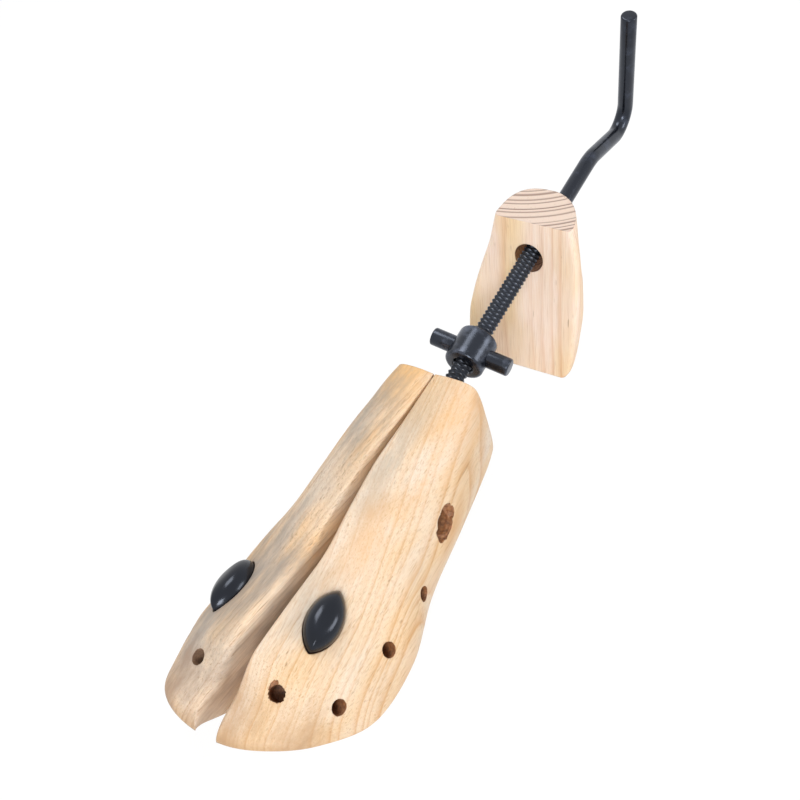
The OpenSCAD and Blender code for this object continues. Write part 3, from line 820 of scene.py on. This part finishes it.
nutBarrel, nutBars = wingNut()
print("wing nut", len(nutBarrel.data.polygons), len(nutBars.data.polygons))


def newMaterial(name):
    material = bpy.data.materials.new(name)
    material.use_nodes = True
    tree = material.node_tree
    tree.nodes.clear()
    add = partial(addNode, tree)
    shader = add("BsdfPrincipled")
    add("OutputMaterial", {"Surface": shader})
    return material, add, shader


# Scales of a pattern across the grain and along it
def grainScale(axis, across, along):
    scale = [across, across, across]
    scale[axis] = along
    return scale


# Sanded raw pine, sawn so that the pith lies outside the piece. The yearly rings run round
# that far line, which gives the eye long soft stripes and, on end grain, arcs. Late wood is
# tan and a little shinier; blue stain lies in streaky patches. Drilled faces get painted shade,
# a darker brown. Places are in mm; a patch has its centre, reach, amount and colour.
pines = {
    "right": {"pith": (-40, 150, 22), "along": 0, "lean": -0.12, "ringMm": 2.3, "bend": 4,
              "flat": 0.02, "pale": "#ecdcc9", "warm": "#eacda7", "late": "#d09a5e",
              "lateShare": 0.85, "lines": 0.3, "end": "#dcb98f", "endLate": "#c99d70", "seed": 1,
              "holeShade": ("#785441", "#c99f82"), "fibres": 0.9,
              # The first patch makes the toe's front browner
              "patches": [((-180, -18, 12), (20, 44, 24), 0.9, "#bd9873"),
                          ((-42, -8, 54), (26, 7, 14), 0.65, "#aba396"),
                          ((-76, -9, 46), (26, 8, 12), 0.65, "#aba396"),
                          ((-132, -8, 36), (22, 9, 9), 0.4, "#aba396"),
                          ((-26, -19, 55), (32, 14, 16), 0.7, "#e8b67c"),
                          ((-98, -15, 46), (26, 10, 12), 0.5, "#e2ab6a")]},
    "left": {"pith": (-60, -120, -4), "along": 0, "lean": 0.05, "ringMm": 3, "bend": 6,
             "flat": 0.025, "pale": "#efddc8", "warm": "#f2cfa3", "late": "#b98a60",
             "lateShare": 0.8, "lines": 0.75, "end": "#d6b792", "endLate": "#b48c68", "seed": 4,
             "holeShade": ("#a08673", "#dcc6b2"), "fibres": 0.9,
             "patches": [((-12, 12, 60), (30, 16, 16), 0.75, "#eab878"),
                         ((-66, 12, 44), (40, 16, 18), 0.3, "#a69e94"),
                         ((-142, 22, 28), (50, 26, 20), 0.9, "#9f958c"),
                         # This patch makes the toe browner
                         ((-180, 18, 14), (20, 40, 22), 0.8, "#ad8f77"),
                         ((-44, 15, 52), (22, 12, 14), 0.85, "#a0988e")]},
    "heel": {"pith": (156, 33, 40), "along": 2, "lean": 0, "ringMm": 3.1, "bend": 4,
             "flat": 0.02, "pale": "#ffeada", "warm": "#fbe0b8", "late": "#dfab7c",
             "lateShare": 1.1, "lines": 0.15, "end": "#e6d0c0", "endLate": "#664332", "seed": 9,
             "holeShade": ("#785441", "#c99f82"), "fibres": 0.6, "patches": []},
}


def pineMaterial(name, wood, holeShade=False):
    material, add, shader = newMaterial(name)
    axis = wood["along"]
    coords = add("TexCoord").outputs["Object"]
    inMm = add("VectorMath SCALE", {0: coords, "Scale": 1000.0})
    # The board was sawn a few degrees off its grain
    sawn = add("Mapping", {"Vector": inMm, "Rotation": (0.0, 0.0, wood["lean"])})
    # The grain wanders a few millimetres over the length of the hand
    slow = add("Mapping", {"Vector": sawn, "Scale": grainScale(axis, 0.014, 0.006),
                           "Location": (wood["seed"], 0, 0)})
    sway = add("TexNoise", {"Vector": slow, "Scale": 1.0, "Detail": 1.0})
    sway = add("VectorMath SCALE", {0: sway.outputs["Color"], "Scale": wood["bend"]})
    bent = add("VectorMath ADD", {0: sawn, 1: sway})
    out = add("VectorMath SUBTRACT", {0: bent, 1: wood["pith"]})
    out = add("VectorMath MULTIPLY", {0: out, 1: grainScale(axis, 1.0, wood["flat"])})
    radius = add("VectorMath LENGTH", {0: out}).outputs["Value"]
    rings = add("Math DIVIDE", {0: radius, 1: wood["ringMm"]})
    years = add("TexNoise", {"W": rings, "Scale": 0.45, "Detail": 1.0}, noise_dimensions="1D")
    rings = add("Math MULTIPLY_ADD", {0: years, 1: 1.8, 2: rings})
    phase = add("Math FRACT", {0: rings})
    late = add("ValToRGB", {"Fac": phase},
               [(0.0, 0.15), (0.3, 0.02), (0.68, 0.5), (0.88, 1.0), (1.0, 0.15)])
    each = add("Math FLOOR", {0: rings})
    each = add("TexWhiteNoise", {"W": each}, noise_dimensions="1D")
    strength = add("Math MULTIPLY_ADD", {0: each, 1: 0.7, 2: 0.3})
    # Rings come and go in patches of 20 by 70 mm along the grain
    patch = add("Mapping", {"Vector": sawn, "Scale": grainScale(axis, 0.05, 0.014),
                            "Location": (0, wood["seed"], 0)})
    patch = add("TexNoise", {"Vector": patch, "Scale": 1.0, "Detail": 2.0})
    share = wood["lateShare"]
    here = add("MapRange", {"Value": patch, "From Min": 0.25, "From Max": 0.65,
                            "To Min": 0.25 * share, "To Max": share})
    strength = add("Math MULTIPLY", {0: strength, 1: here})
    lateAmount = add("Math MULTIPLY", {0: late, 1: strength}, use_clamp=True)
    warmth = add("MapRange", {"Value": patch, "From Min": 0.38, "From Max": 0.62})
    color = add("MixRGB", {"Fac": warmth, "Color1": wood["pale"], "Color2": wood["warm"]})
    color = add("MixRGB", {"Fac": lateAmount, "Color1": color, "Color2": wood["late"]})
    # Fibres, drawn 0.5 mm wide and 25 mm long, the finest that the picture shows
    fibres = add("Mapping", {"Vector": bent, "Scale": grainScale(axis, 2.0, 0.04)})
    fibres = add("TexNoise", {"Vector": fibres, "Scale": 1.0, "Detail": 4.0, "Roughness": 0.6})
    tone = add("ValToRGB", {"Fac": fibres},
               [(0.3, "#dcc8b0"), (0.5, "#ffffff"), (0.75, "#ecd8be")])
    color = add("MixRGB", {"Fac": wood["fibres"], "Color1": color, "Color2": tone},
                blend_type="MULTIPLY")
    # End grain drinks more light, and its rings stand out as fine dark arcs
    normal = add("TexCoord").outputs["Normal"]
    facing = add("VectorMath DOT_PRODUCT", {0: normal, 1: grainScale(axis, 0.0, 1.0)})
    facing = add("Math ABSOLUTE", {0: facing.outputs["Value"]})
    facing = add("MapRange", {"Value": facing, "From Min": 0.5, "From Max": 0.9})
    arcs = add("ValToRGB", {"Fac": phase},
               [(0.0, 0.25), (0.12, 0.0), (0.55, 0.05), (0.8, 0.95), (0.95, 0.95), (1.0, 0.25)])
    bold = add("Math MULTIPLY_ADD", {0: each, 1: 0.4, 2: 0.55})
    arcs = add("Math MULTIPLY", {0: arcs, 1: bold})
    endColor = add("MixRGB", {"Fac": arcs, "Color1": wood["end"], "Color2": wood["endLate"]})
    color = add("MixRGB", {"Fac": facing, "Color1": color, "Color2": endColor})
    # Thin brown lines, 0.8 mm by 60 mm
    lines = add("Mapping", {"Vector": bent, "Scale": grainScale(axis, 1.25, 0.017),
                            "Location": (2, wood["seed"], 1)})
    lines = add("TexNoise", {"Vector": lines, "Scale": 1.0, "Detail": 2.0, "Roughness": 0.6})
    lines = add("MapRange", {"Value": lines, "From Min": 0.58, "From Max": 0.72,
                             "To Max": wood["lines"]})
    color = add("MixRGB", {"Fac": lines, "Color1": color, "Color2": "#a98562"})
    # A few short resin streaks, 1 mm by 10 mm
    streaks = add("Mapping", {"Vector": bent, "Scale": grainScale(axis, 0.9, 0.09),
                              "Location": (wood["seed"], 3, 5)})
    streaks = add("TexNoise", {"Vector": streaks, "Scale": 1.0, "Detail": 1.0})
    streaks = add("MapRange", {"Value": streaks, "From Min": 0.73, "From Max": 0.8, "To Max": 0.6})
    color = add("MixRGB", {"Fac": streaks, "Color1": color, "Color2": "#9a7350"})
    # Blue stain, resin-rich places and a browner tone towards the toe, with streaky edges
    soft = add("Mapping", {"Vector": sawn, "Scale": (0.03, 0.1, 0.1)})
    edge = add("TexNoise", {"Vector": soft, "Scale": 1.0, "Detail": 5.0, "Roughness": 0.65})
    for centre, reach, amount, tint in wood["patches"]:
        off = add("VectorMath SUBTRACT", {0: inMm, 1: centre})
        off = add("VectorMath MULTIPLY", {0: off, 1: [1 / r for r in reach]})
        away = add("VectorMath LENGTH", {0: off}).outputs["Value"]
        away = add("Math MULTIPLY_ADD", {0: edge, 1: 3.0, 2: away})
        within = add("MapRange", {"Value": away, "From Min": 2.75, "From Max": 1.55,
                                  "To Max": amount})
        color = add("MixRGB", {"Fac": within, "Color1": color, "Color2": tint})
    if holeShade:
        # Painted shade inside the holes: browner, in flecks of 1.4 mm
        flecks = add("TexNoise", {"Vector": inMm, "Scale": 0.7, "Detail": 4.0, "Roughness": 0.7})
        flecks = add("MapRange", {"Value": flecks, "From Min": 0.35, "From Max": 0.65})
        shade = add("MixRGB", {"Fac": flecks, "Color1": wood["holeShade"][0],
                               "Color2": wood["holeShade"][1]})
        color = add("MixRGB", {"Fac": 0.9, "Color1": color, "Color2": shade}, blend_type="MULTIPLY")
    rough = add("MapRange", {"Value": lateAmount, "To Min": 0.62, "To Max": 0.5})
    soften = add("Bevel", {"Radius": 0.7 * mm}, samples=4)
    height = add("Math MULTIPLY_ADD", {0: fibres, 1: 0.6, 2: lateAmount})
    bump = add("Bump", {"Height": height, "Strength": 0.12, "Distance": 0.4 * mm, "Normal": soften})
    feed(shader, {"Base Color": color, "Roughness": rough, "IOR": 1.5, "Normal": bump,
                  "Subsurface Weight": 0.06, "Subsurface Scale": 0.4,
                  "Subsurface Radius": (0.004, 0.002, 0.001)})
    return material


# Black oxidised and oiled steel: a very dark face with blue-grey patches that are partly rubbed
# wear and partly painted sheen. The oxide lies over the metal, so it shows less metal than bare
# steel.
# Three radii in mm, where given, set the thread's hollows, painted dark as shade, its flanks and
# its crests, painted lighter as wear and as highlight.
def blackSteel(name, base, wearAndSheenColor, roughness, seed, hollows=None):
    material, add, shader = newMaterial(name)
    coords = add("TexCoord").outputs["Object"]
    # Rubbed places and painted sheen, in patches about 8 mm wide, over a grain of 0.7 mm
    cloud = add("TexNoise", {"Vector": coords, "Scale": 120.0 + seed, "Detail": 5.0,
                             "Roughness": 0.6})
    fine = add("TexNoise", {"Vector": coords, "Scale": 1500.0, "Detail": 2.0})
    wearAndSheen = add("MapRange", {"Value": cloud, "From Min": 0.5, "From Max": 0.72, "To Max": 0.6})
    color = add("MixRGB", {"Fac": wearAndSheen, "Color1": base, "Color2": wearAndSheenColor})
    rough = add("MapRange", {"Value": cloud, "To Min": roughness - 0.08,
                             "To Max": roughness + 0.14})
    if hollows:
        # Distance from the bar's axis: the thread's hollows get painted shade, and its crests a
        # lighter grey, partly rubbed bright and partly painted highlight
        start = (midShift * mm, 0.0, rodZ * mm)
        line = (math.cos(rodRise), 0.0, math.sin(rodRise))
        off = add("VectorMath SUBTRACT", {0: coords, 1: start})
        across = add("VectorMath CROSS_PRODUCT", {0: off, 1: line})
        away = add("VectorMath LENGTH", {0: across}).outputs["Value"]
        root, flank, crown = [r * mm for r in hollows]
        hollowShade = add("MapRange", {"Value": away, "From Min": root, "From Max": flank})
        # Only the bar's straight, threaded part
        reach = add("VectorMath DOT_PRODUCT", {0: off, 1: line}).outputs["Value"]
        smoothPart = add("Math GREATER_THAN", {0: reach, 1: rod["threadTo"] * mm})
        hollowShade = add("Math MAXIMUM", {0: hollowShade, 1: smoothPart})
        # Painted shade: the thread's hollows go near black
        color = add("MixRGB", {"Fac": hollowShade, "Color1": "#050506", "Color2": color})
        # Crests lighter grey: partly rubbed wear, partly painted highlight
        crest = add("MapRange", {"Value": away, "From Min": flank, "From Max": crown,
                                 "To Max": 0.85})
        crest = add("Math SUBTRACT", {0: crest, 1: smoothPart}, use_clamp=True)
        color = add("MixRGB", {"Fac": crest, "Color1": color, "Color2": "#8d929b"})
        dull = add("MapRange", {"Value": hollowShade, "To Min": 0.4, "To Max": 0.0})
        rough = add("Math ADD", {0: rough, 1: dull})
    soften = add("Bevel", {"Radius": 0.3 * mm}, samples=4)
    bump = add("Bump", {"Height": fine, "Strength": 0.08, "Distance": 0.2 * mm, "Normal": soften})
    feed(shader, {"Base Color": color, "Roughness": rough, "Metallic": 0.15, "Normal": bump,
                  "Specular IOR Level": 0.62, "Specular Tint": (0.72, 0.81, 1.0, 1.0)})
    return material


# Injection-moulded black nylon, polished by its mould: sharp highlights on a soft dome
def glossNylon(name):
    material, add, shader = newMaterial(name)
    coords = add("TexCoord").outputs["Object"]
    # Slight waves 6 mm wide, as the nylon shrinks in its mould
    wave = add("TexNoise", {"Vector": coords, "Scale": 160.0, "Detail": 1.0})
    color = add("MixRGB", {"Fac": wave, "Color1": "#07080c", "Color2": "#0f1118"})
    rough = add("MapRange", {"Value": wave, "To Min": 0.16, "To Max": 0.22})
    bump = add("Bump", {"Height": wave, "Strength": 0.05, "Distance": 1.0 * mm})
    feed(shader, {"Base Color": color, "Roughness": rough, "IOR": 1.46, "Normal": bump,
                  "Specular IOR Level": 0.48, "Specular Tint": (0.78, 0.85, 1.0, 1.0)})
    return material


# Turned or stamped bright metal of the hidden mechanism, with tool marks 1.1 mm apart that
# break up its shine
def brightMetal(name, base, shaded, roughness):
    material, add, shader = newMaterial(name)
    coords = add("TexCoord").outputs["Object"]
    marks = add("TexNoise", {"Vector": coords, "Scale": 900.0, "Detail": 4.0})
    color = add("MixRGB", {"Fac": marks, "Color1": base, "Color2": shaded})
    rough = add("MapRange", {"Value": marks, "To Min": roughness - 0.08, "To Max": roughness + 0.1})
    bump = add("Bump", {"Height": marks, "Strength": 0.1, "Distance": 0.2 * mm})
    feed(shader, {"Base Color": color, "Roughness": rough, "Metallic": 1.0, "Normal": bump})
    return material


# Fills a piece's material slots in order, and slots left over with the last material
def dress(piece, *materials):
    slots = piece.data.materials
    for index in range(max(len(materials), len(slots))):
        material = materials[min(index, len(materials) - 1)]
        if index < len(slots):
            slots[index] = material
        else:
            slots.append(material)


# The second material, for faces that cutters leave, is browner with painted shade
for piece, key in ((halfLeft, "left"), (halfRight, "right"), (heelPiece, "heel")):
    dress(piece, pineMaterial("sanded pine, " + key, pines[key]),
          pineMaterial("drilled pine, " + key, pines[key], True))
# Each steel's second colour is partly wear and partly painted sheen
steelNut = blackSteel("black oxidised steel, nut", "#14161c", "#656b7a", 0.21, 20.0)
steelBar = blackSteel("black oxidised steel, spindle", "#0c0d13", "#434959", 0.2, 0.0,
                      (3.9, 4.3, 4.66))
dress(spindle, steelBar)
dress(nutBarrel, steelNut)
dress(nutBars, steelNut)
nylon = glossNylon("black moulded nylon")
dress(plugLeft, nylon)
dress(plugRight, nylon)
# The inner CAD nodes by finish
inside = [
    (brightMetal("stamped brass", "#c9a25a", "#9c7d43", 0.35),
     ["hinge_leaves_left", "hinge_leaves_right"]),
    (brightMetal("zinc-plated steel", "#b9bcc0", "#8d9094", 0.32),
     ["hinge_screws_left", "hinge_screws_right", "hinge_pins", "cam_plate_left",
      "cam_plate_right", "cam_screws_left", "cam_screws_right", "thrust_collars", "collar_pins",
      "stop_ring"]),
    (blackSteel("black oxidised steel, inside", "#1b1c1f", "#34383f", 0.4, 40.0),
     ["anchor_barrel", "anchor_bars", "wedge_nut"]),
]
for material, nodes in inside:
    for node in nodes:
        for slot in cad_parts[node].material_slots:
            slot.material = material

# Each piece with its body, the CAD node that it stands for, and its slot
rides = [
    (halfLeft, "half_left", "forepart_left", "pine"),
    (halfRight, "half_right", "forepart_right", "pine"),
    (heelPiece, "heel", "heel_block", "pine"),
    (spindle, "screw", "spindle", "black_steel"),
    (nutBarrel, "wing_nut", "nut_barrel", "black_steel"),
    (nutBars, "wing_nut", "nut_bars", "black_steel"),
    (plugLeft, "half_left", "plug_left", "black_plastic"),
    (plugRight, "half_right", "plug_right", "black_plastic"),
]
for piece, body, node, slot in rides:
    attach(piece, body)
    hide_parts(node)
print("dressed", len(rides), "pieces and the inner nodes in", len(inside), "finishes")


# Strengths of the world and the floor, as the camera sees them and as they light the object
studio = {"seen": 1.0, "lit": 0.42, "paper": 0.8, "paperGlow": 0.93, "paperDim": 0.1}


# Shows one shader to the camera, glossy and clear rays, and another to the light
def lookThrough(add, seen, lit):
    path = add("LightPath").outputs
    direct = add("Math MAXIMUM", {0: path["Is Camera Ray"], 1: path["Is Glossy Ray"]})
    direct = add("Math MAXIMUM", {0: direct, 1: path["Is Transmission Ray"]})
    return add("MixShader", {0: direct, 1: lit, 2: seen})


world = bpy.data.worlds.new("studio")
bpy.context.scene.world = world
world.use_nodes = True
world.node_tree.nodes.clear()
add = partial(addNode, world.node_tree)
seen = add("Background", {"Color": grey(1.0), "Strength": studio["seen"]})
lit = add("Background", {"Color": grey(1.0), "Strength": studio["lit"]})
add("OutputWorld", {"Surface": lookThrough(add, seen, lit)})

# Matt backdrop paper, pressed smooth: it shows near white and keeps the object's shadow
paper = bpy.data.materials.new("white paper")
paper.use_nodes = True
paper.node_tree.nodes.clear()
add = partial(addNode, paper.node_tree)
lit = add("BsdfDiffuse", {"Color": grey(studio["paper"])})
glow = add("Emission", {"Color": grey(1.0), "Strength": studio["paperGlow"]})
dim = add("BsdfDiffuse", {"Color": grey(studio["paperDim"])})
seen = add("AddShader", {0: glow, 1: dim})
add("OutputMaterial", {"Surface": lookThrough(add, seen, lit)})
bpy.ops.mesh.primitive_plane_add(size=6, location=(0, 0, -0.4 * mm))
floor = bpy.context.object
floor.name = "paperFloor"
floor.data.materials.append(paper)

# Each softbox as place, aim, width and height in metres, and power in watts
softboxes = {
    "softboxAbove": ((0.12, 0.34, 1.1), (0, 0, 0.02), (0.5, 0.5), 4.6),
    "softboxToe": ((-1.0, -0.47, 0.62), (-0.05, 0, 0.02), (0.45, 0.45), 8.4),
    "softboxRight": ((0.35, -1.02, 0.46), (0, 0, 0.03), (0.5, 0.4), 3.9),
}
for name, (place, aim, size, power) in softboxes.items():
    data = bpy.data.lights.new(name, "AREA")
    data.shape = "RECTANGLE"
    data.size, data.size_y = size
    data.energy = power
    lamp = bpy.data.objects.new(name, data)
    bpy.context.collection.objects.link(lamp)
    lamp.location = place
    lamp.rotation_euler = (Vector(aim) - Vector(place)).to_track_quat("-Z", "Y").to_euler()
print("studio set")
